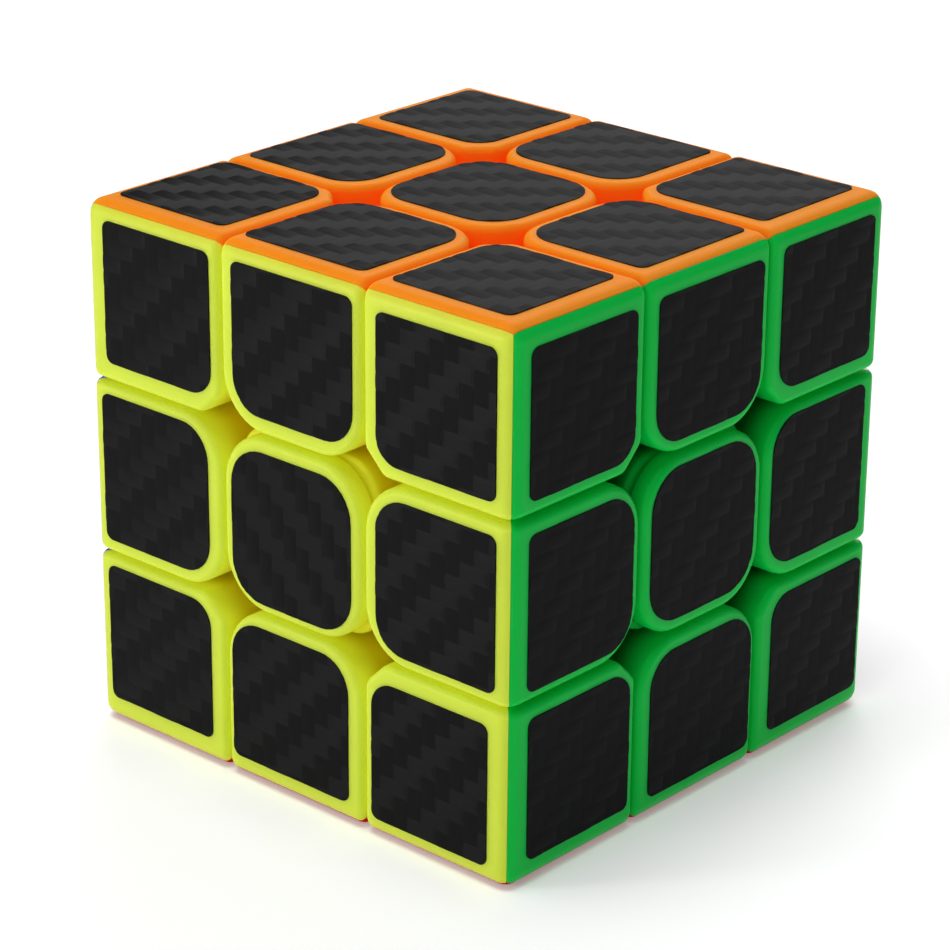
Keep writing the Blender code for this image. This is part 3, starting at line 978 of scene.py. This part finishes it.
@dataclass
class Centre:
    """A centre: a base that turns on its screw and a cap pressed into it.

    Attributes:
        gauge: The shared sizes.
        rounding: Radius of the cap's corners.
        base_rounding: Radius of the base's corners.
        fillet: Rounding of the cap's outer edge.
        base_fillet: Rounding of the base's top edge.
        gap: Clearance between the cap and the base.
        pocket_rim: Width of the rim round the base's pocket.
        pocket_depth: Depth of the pocket.
        skirt_wall: Thickness of the cap's skirt.
        bore: Radius of the hole for the spring and washer.
        shank_hole: Radius of the hole for the screw.
        floor: Thickness of the floor under the spring.
    """

    gauge: Gauge
    rounding: float = 5.5
    base_rounding: float = 3.8
    fillet: float = 0.75
    base_fillet: float = 0.5
    gap: float = 0.3
    pocket_rim: float = 2.6
    pocket_depth: float = 7.0
    skirt_wall: float = 1.2
    bore: float = 3.6
    shank_hole: float = 1.8
    floor: float = 2.0

    def cap(self) -> Mesh:
        """The cap on +Z, with its skirt."""
        gauge = self.gauge
        wide, top, low = gauge.middle_half, gauge.half, gauge.base_top + self.gap
        bench = Bench.block("centre_cap", (-wide, -wide, low), (wide, wide, top))
        bench.bevel(self.rounding, 10, lambda edge: not lies_at(edge, 2, top) and not lies_at(edge, 2, low))
        bench.bevel(self.fillet, 4, sharp_at(top))
        bench.bevel(self.gap, 2, sharp_at(low))
        reach = wide - self.pocket_rim - self.gap
        rim = gauge.skirt_start
        skirt = Bench.block("cap_skirt", (-reach, -reach, rim), (reach, reach, (low + top) / 2))
        skirt.bevel(2 * self.gap, 3, lambda edge: abs(edge.verts[0].co.z - edge.verts[1].co.z) > TINY)
        bench.combine(Join.ADD, skirt)
        bench.sink(self.skirt_wall, rim - low,
                   lambda face: face.normal.z < -SQUARELY and face.verts[0].co.z < rim + TINY)
        return bench.finished()

    def base(self) -> Mesh:
        """The base on +Z, with its pocket, its bore and its post."""
        gauge = self.gauge
        wide, top = gauge.middle_half, gauge.base_top
        bench = Bench.block("centre_base", (-wide, -wide, gauge.foot_start), (wide, wide, top))
        up = Vector((0, 0, 1))
        bench.score(up * gauge.hole_floor, up)
        bench.bevel(self.base_rounding, 8, lambda edge: sharp_edge(edge) and not lies_at(edge, 2, top)
                    and middle_of(edge).z > gauge.hole_floor + TINY)
        bench.bevel(self.base_fillet, 3, sharp_at(top))
        bench.sink(self.pocket_rim - self.base_fillet, self.pocket_depth,
                   lambda face: face.normal.z > SQUARELY and face.calc_center_median().z > top - TINY)
        far = 2 * gauge.half
        for face in (Face.FRONT, Face.BACK, Face.LEFT, Face.RIGHT):
            bench.combine(Join.CUT, Bench.drum("centre_track", face.normal, gauge.post_half, far,
                                               gauge.track_radius))
        floor_top = gauge.foot_start + self.floor
        bench.combine(Join.CUT, Bench.drum("centre_bore", up, floor_top, far, self.bore))
        bench.combine(Join.CUT, Bench.drum("centre_hole", up, 0, far, self.shank_hole, 32))
        return bench.finished()

    def build(self, shelf: Shelf) -> None:
        """Place the caps and bases of all six centres.

        Args:
            shelf: Where finished pieces go.
        """
        cap = self.cap()
        base = self.base()
        for face in Face:
            turn = turn_to(face.normal, face.upright)
            slot = shelf.finishes.plastic(face)
            shelf.place(cap, f"cap_{face.label}", turn, slot, f"centre_cap_{face.label}")
            shelf.place(base, f"base_{face.label}", turn, slot, f"centre_base_{face.label}")


@dataclass
class Fixings:
    """Screw, washer and spring on one axis, read from the up face of the frame.

    Attributes:
        shank: Radius of the screw's shank.
        recess: Width of the cross recess.
        recess_length: Length of the cross recess.
        recess_depth: Depth of the cross recess.
        dome: Rounding of the screw's head.
        tip: Chamfer on the end of the shank.
        gap: Clearance round the shank and under the head.
        washer_break: Broken edge of the washer.
        wire: Radius of the spring's wire.
        turns: Turns of the spring.
    """

    shank: float = 1.5
    recess: float = 0.8
    recess_length: float = 3.4
    recess_depth: float = 1.2
    dome: float = 0.9
    tip: float = 0.5
    gap: float = 0.3
    washer_break: float = 0.12
    wire: float = 0.35
    turns: int = 5

    def screw(self) -> Mesh:
        """The screw: a domed head with a cross recess, on a plain shank with a chamfered tip."""
        low, high = (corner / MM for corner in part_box("screw_up"))
        washer_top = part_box("washer_up")[1].z / MM
        head_start = washer_top + self.gap
        bench = Bench.drum("screw", Vector((0, 0, 1)), head_start, high.z, high.x, 48)
        bench.bevel(self.dome, 5, sharp_at(high.z))
        bench.sink(high.x - self.shank, head_start - low.z,
                   lambda face: face.normal.z < -SQUARELY and face.verts[0].co.z < head_start + TINY)
        bench.bevel(self.tip, 1, sharp_at(low.z))
        long, short = self.recess_length / 2, self.recess / 2
        for wide, deep in ((long, short), (short, long)):
            floor = high.z - self.recess_depth
            bench.combine(Join.CUT, Bench.block("recess", (-wide, -deep, floor), (wide, deep, 2 * high.z)))
        return bench.finished(40)

    def washer(self) -> Mesh:
        """The washer, with broken edges."""
        low, high = (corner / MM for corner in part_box("washer_up"))
        up = Vector((0, 0, 1))
        bench = Bench.drum("washer", up, low.z, high.z, high.x, 64)
        bench.combine(Join.CUT, Bench.drum("washer_hole", up, 0, 2 * high.z, self.shank + self.gap, 48))
        bench.bevel(self.washer_break, 2, sharp_at(low.z, high.z))
        return bench.finished(40)

    def spring(self) -> Mesh:
        """The spring, one unbroken wire."""
        low, high = (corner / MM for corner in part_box("spring_up"))
        radius = self.shank + self.gap + self.wire
        rise = high.z - low.z - 2 * self.wire
        bench = Bench.ring("spring", self.wire, (radius, 0, low.z + self.wire), 14)
        coil = bench.obj.modifiers.new("coil", "SCREW")
        coil.angle = math.tau
        coil.iterations = self.turns
        coil.screw_offset = rise / self.turns
        coil.steps = 36
        coil.render_steps = 36
        coil.use_merge_vertices = False
        bpy.ops.object.modifier_apply(modifier=coil.name)
        bench.edit("EDGE")
        bpy.ops.mesh.select_all(action="SELECT")
        bpy.ops.mesh.fill_holes(sides=0)
        bench.rest()
        return bench.finished(60)

    def build(self, shelf: Shelf) -> None:
        """Place the fixings of all six axes and dress the core.

        Args:
            shelf: Where finished pieces go.
        """
        kinds = {"screw": self.screw(), "washer": self.washer(), "spring": self.spring()}
        for face in Face:
            turn = turn_to(face.normal, face.upright)
            for kind, mesh in kinds.items():
                shelf.place(mesh, f"{kind}_fine_{face.label}", turn, "steel", f"{kind}_{face.label}")
        shelf.repaint("core", "core_plastic")


class Kind(Enum):
    """Where a small square lies on its face, by how many sides it shares with other faces."""

    CENTRE = 0
    EDGE = 1
    CORNER = 2


@dataclass
class Stickers:
    """The nine stickers of a face, cut from embossed vinyl.

    Attributes:
        gauge: The shared sizes.
        vinyl: The sheet that they are cut from.
        corner_size: Sides of a corner's sticker.
        edge_wide: Width of an edge's sticker, along the side of the cube.
        edge_deep: Depth of an edge's sticker.
        centre_size: Sides of a centre's sticker.
        outer_round: Radius of the corners away from the middle of the face.
        corner_round: Radius of a corner sticker's inner corner.
        edge_round: Radius of an edge sticker's inner corners.
        centre_round: Radius of a centre sticker's corners.
        sunk: How far a sticker's back lies in the plastic.
        round_steps: Flats along a rounded corner.
        steps: Steps of the relief across one tow.
        crosswise: Centre stickers that were laid a quarter turn round.
    """

    # Millimetres to the right and up that each sticker in view was laid off the middle of its square
    LAID = {
        Face.FRONT: ((0.9, 0.15), (0.45, 0.05), (-0.05, -0.3),
                     (0.1, 0.25), (0.05, -0.2), (-0.05, -0.05),
                     (0.1, 0.9), (-0.35, 0.5), (-0.75, 0.05)),
        Face.RIGHT: ((0.5, -0.45), (0.1, -0.45), (-0.3, -0.05),
                     (0.65, -0.2), (0.0, 0.2), (-0.6, 0.45),
                     (0.8, 0.55), (0.45, 0.35), (0.3, 0.5)),
        Face.UP: ((0.25, -0.1), (-0.45, 0.0), (-0.9, 0.0),
                  (0.0, 0.45), (-0.4, 0.4), (-0.6, 0.45),
                  (0.0, 0.9), (-0.45, 0.6), (-0.8, 0.65)),
    }

    gauge: Gauge
    vinyl: CarbonVinyl
    corner_size: float = 14.75
    edge_wide: float = 15.75
    edge_deep: float = 14.95
    centre_size: float = 15.9
    outer_round: float = 0.9
    corner_round: float = 2.7
    edge_round: float = 3.6
    centre_round: float = 4.1
    sunk: float = 0.02
    round_steps: int = 8
    steps: int = 8
    crosswise: tuple[Face, ...] = (Face.FRONT,)

    def size(self, column: int, row: int) -> tuple[float, float]:
        """Width and height of the sticker in a column and row from -1 to 1."""
        if column and row:
            return self.corner_size, self.corner_size
        if row:
            return self.edge_wide, self.edge_deep
        if column:
            return self.edge_deep, self.edge_wide
        return self.centre_size, self.centre_size

    def radius(self, column: int, row: int, right: int, top: int) -> float:
        """Radius of one corner of a sticker.

        Args:
            column: The sticker's column, from -1 to 1.
            row: Its row, from -1 to 1.
            right: 1 for a corner on its right, -1 on its left.
            top: 1 for a corner at its top, -1 at its foot.

        Returns:
            The radius in millimetres.
        """
        kind = Kind(abs(column) + abs(row))
        if kind is Kind.CENTRE:
            return self.centre_round
        inner = right * column <= 0 and top * row <= 0
        if not inner:
            return self.outer_round
        return self.corner_round if kind is Kind.CORNER else self.edge_round

    def master(self, column: int, row: int, phase: Vector) -> Mesh:
        """One sticker on the up face, with its weave in relief.

        Args:
            column: Its column, from -1 to 1.
            row: Its row, from -1 to 1.
            phase: Where the weave starts, in tows.

        Returns:
            The finished mesh, in millimetres.
        """
        gauge, vinyl = self.gauge, self.vinyl
        reach = (gauge.half + gauge.outer_start) / 2
        middle = Vector((column * reach, row * reach))
        wide, deep = self.size(column, row)
        corner = Vector((wide, deep)) / 2
        bench = Bench.sheet("sticker", middle - corner, middle + corner, gauge.half - self.sunk)
        for right, top in itertools.product((-1, 1), repeat=2):
            spot = middle + Vector((right * corner.x, top * corner.y))
            bench.bevel(self.radius(column, row, right, top), self.round_steps,
                        lambda vert: (vert.co.xy - spot).length < TINY, "VERT")
        self.rule(bench, middle - corner, middle + corner, phase)
        bench.select("FACE", lambda face: True)
        bpy.ops.mesh.extrude_region_move(TRANSFORM_OT_translate={"value": (0, 0, vinyl.thickness)})
        bench.select("FACE", lambda face: face.calc_center_median().z < gauge.half)
        bpy.ops.mesh.dissolve_limited(angle_limit=0.01)
        bench.rest()
        mesh = bench.obj.data
        for vert in mesh.vertices:
            if vert.co.z > gauge.half:
                vert.co.z += vinyl.height(*self.in_tows(vert.co, phase))
        layer = mesh.uv_layers.new(name=vinyl.weave)
        for loop in mesh.loops:
            layer.data[loop.index].uv = self.in_tows(mesh.vertices[loop.vertex_index].co, phase)
        return bench.finished(50)

    def rule(self, bench: Bench, low: Vector, high: Vector, phase: Vector) -> None:
        """Cut a sheet into small squares that line up with its tows.

        Args:
            bench: The flat sheet.
            low: Its lowest corner.
            high: Its highest corner.
            phase: Where the weave starts, in tows.
        """
        bench.edit("FACE")
        for axis in (0, 1):
            step = self.vinyl.pitch[axis] / self.steps
            start = phase[axis] * self.vinyl.pitch[axis]
            first = math.ceil((low[axis] - start) / step)
            last = math.floor((high[axis] - start) / step)
            across = Vector((axis == 0, axis == 1, 0))
            for line in range(first, last + 1):
                bpy.ops.mesh.select_all(action="SELECT")
                bpy.ops.mesh.bisect(
                    plane_co=across * (start + line * step), plane_no=across, threshold=TINY)
        bench.rest()

    def in_tows(self, place: Vector, phase: Vector) -> Vector:
        """A place on the sheet, counted in tows from where the weave starts."""
        return Vector(place[axis] / self.vinyl.pitch[axis] - phase[axis] for axis in (0, 1))

    def build(self, shelf: Shelf) -> None:
        """Place all fifty-four stickers.

        Args:
            shelf: Where finished pieces go.
        """
        chance = random.Random(SEED)
        cells = [(column, row) for row in (1, 0, -1) for column in (-1, 0, 1)]
        for number, (column, row) in enumerate(cells, 1):
            phase = Vector((chance.uniform(0, TWILL), chance.uniform(0, TWILL)))
            sticker = self.master(column, row, phase)
            for face in Face:
                right = face.upright.cross(face.normal)
                node = self.node_under(face.normal + column * right + row * face.upright)
                aside = face in self.crosswise and not (column or row)
                turn = turn_to(face.normal, right if aside else face.upright)
                across, along = self.LAID[face][number - 1] if face in self.LAID else (0.0, 0.0)
                turn = Matrix.Translation((across * right + along * face.upright) * MM) @ turn
                shelf.place(sticker, f"sticker_{face.label}_{number}", turn, self.vinyl.slot, node,
                            stands_for=False)

    def node_under(self, direction: Vector) -> str:
        """The CAD node that carries a sticker on the small cube in a direction."""
        names = [face.label for face in Face if face.normal.dot(direction) > 0.5]
        prefix = {1: "centre_cap_", 2: "edge_", 3: "corner_shell_"}[len(names)]
        return prefix + "_".join(names)


@dataclass(frozen=True)
class Lamp:
    """One square soft light that points at the cube.

    Attributes:
        name: The light's name.
        place: Where it stands, in metres.
        size: Its sides, in metres.
        level: Brightness of white paper that faces it where the cube is.
    """

    name: str
    place: tuple[float, float, float]
    size: float
    level: float

    def build(self) -> None:
        """Hang the light."""
        data = bpy.data.lights.new(self.name, "AREA")
        place = Vector(self.place)
        data.size = self.size
        data.energy = self.level * math.pi ** 2 * place.length_squared
        lamp = bpy.data.objects.new(self.name, data)
        lamp.visible_camera = False
        bpy.context.scene.collection.objects.link(lamp)
        turn = (-place).to_track_quat("-Z", "Y").to_matrix().to_4x4()
        lamp.matrix_world = Matrix.Translation(place) @ turn


@dataclass
class Studio:
    """White floor, soft light and the camera.

    Attributes:
        azimuth: Degrees that the camera stands round to the right of the front.
        elevation: Degrees that it stands above the horizon.
        distance: From the camera to its target, in millimetres.
        target: What it looks at, in millimetres.
        roll: Degrees that it is turned about its own line of sight.
        focal_pixels: Focal length in pixels of the picture.
        picture: Width of the picture in pixels.
        floor_size: Sides of the floor, in metres.
        floor_level: Light that the floor gives by itself, as paper on a light table does.
        ambient: Light from all round.
        lamps: The lights.
    """

    azimuth: float = 41.74
    elevation: float = 22.33
    distance: float = 361.2
    target: tuple[float, float, float] = (-11.36, 11.11, -8.39)
    roll: float = 0.51
    focal_pixels: float = 3394.4
    picture: float = 950.0
    floor_size: float = 6.0
    floor_level: float = 0.2
    ambient: float = 0.18
    lamps: tuple[Lamp, ...] = (
        Lamp("top", (-0.10, -0.25, 2.00), 1.0, 0.52),
        Lamp("key", (-0.212, -0.333, 0.06), 0.07, 0.30),
        Lamp("side", (0.085, -0.25, 0.12), 0.22, 0.18),
        Lamp("back", (-0.55, 1.06, 0.90), 1.1, 0.44),
    )

    def camera(self) -> None:
        """Stand the camera where the picture was taken from."""
        data = bpy.data.cameras.new("camera")
        data.lens = self.focal_pixels / self.picture * data.sensor_width
        data.clip_start = 0.01
        camera = bpy.data.objects.new("camera", data)
        bpy.context.scene.collection.objects.link(camera)
        around, above = math.radians(self.azimuth), math.radians(self.elevation)
        level = math.cos(above)
        back = Vector((math.sin(around) * level, -math.cos(around) * level, math.sin(above)))
        eye = (Vector(self.target) + back * self.distance) * MM
        turn = (-back).to_track_quat("-Z", "Y").to_matrix().to_4x4()
        roll = Matrix.Rotation(math.radians(self.roll), 4, "Z")
        camera.matrix_world = Matrix.Translation(eye) @ turn @ roll
        bpy.context.scene.camera = camera

    def floor(self) -> None:
        """A wide white floor under the lowest sticker."""
        bpy.ops.mesh.primitive_plane_add(size=self.floor_size, location=(0, 0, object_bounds()[0].z))
        floor = bpy.context.object
        floor.name = "floor"
        board = Board("floor_paper")
        shade = board.noise(board.place(), 6.0)
        board.feed("Base Color", board.blend(shade, (0.95, 0.95, 0.95, 1), (0.97, 0.97, 0.97, 1)))
        board.set(Roughness=0.9, Specular_IOR_Level=0.1, Emission_Strength=self.floor_level)
        floor.data.materials.append(board.material)
        floor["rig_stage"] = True

    def build(self) -> None:
        """Set up the whole studio."""
        scene = bpy.context.scene
        scene.view_settings.view_transform = "Standard"
        world = bpy.data.worlds.new("studio")
        world.use_nodes = True
        background = world.node_tree.nodes["Background"]
        background.inputs["Color"].default_value = (1, 1, 1, 1)
        background.inputs["Strength"].default_value = self.ambient
        scene.world = world
        self.floor()
        for lamp in self.lamps:
            lamp.build()
        self.camera()


def main() -> None:
    """Build every sub-assembly, then the studio."""
    logging.basicConfig(level=logging.INFO, format="%(name)s: %(message)s")
    gauge = Gauge.from_frame()
    shelf = Shelf(Finishes())
    Corner(gauge).build(shelf)
    Edge(gauge).build(shelf)
    Centre(gauge).build(shelf)
    Fixings().build(shelf)
    Stickers(gauge, shelf.finishes.vinyl).build(shelf)
    Studio().build()


if __name__ == "__main__":
    main()
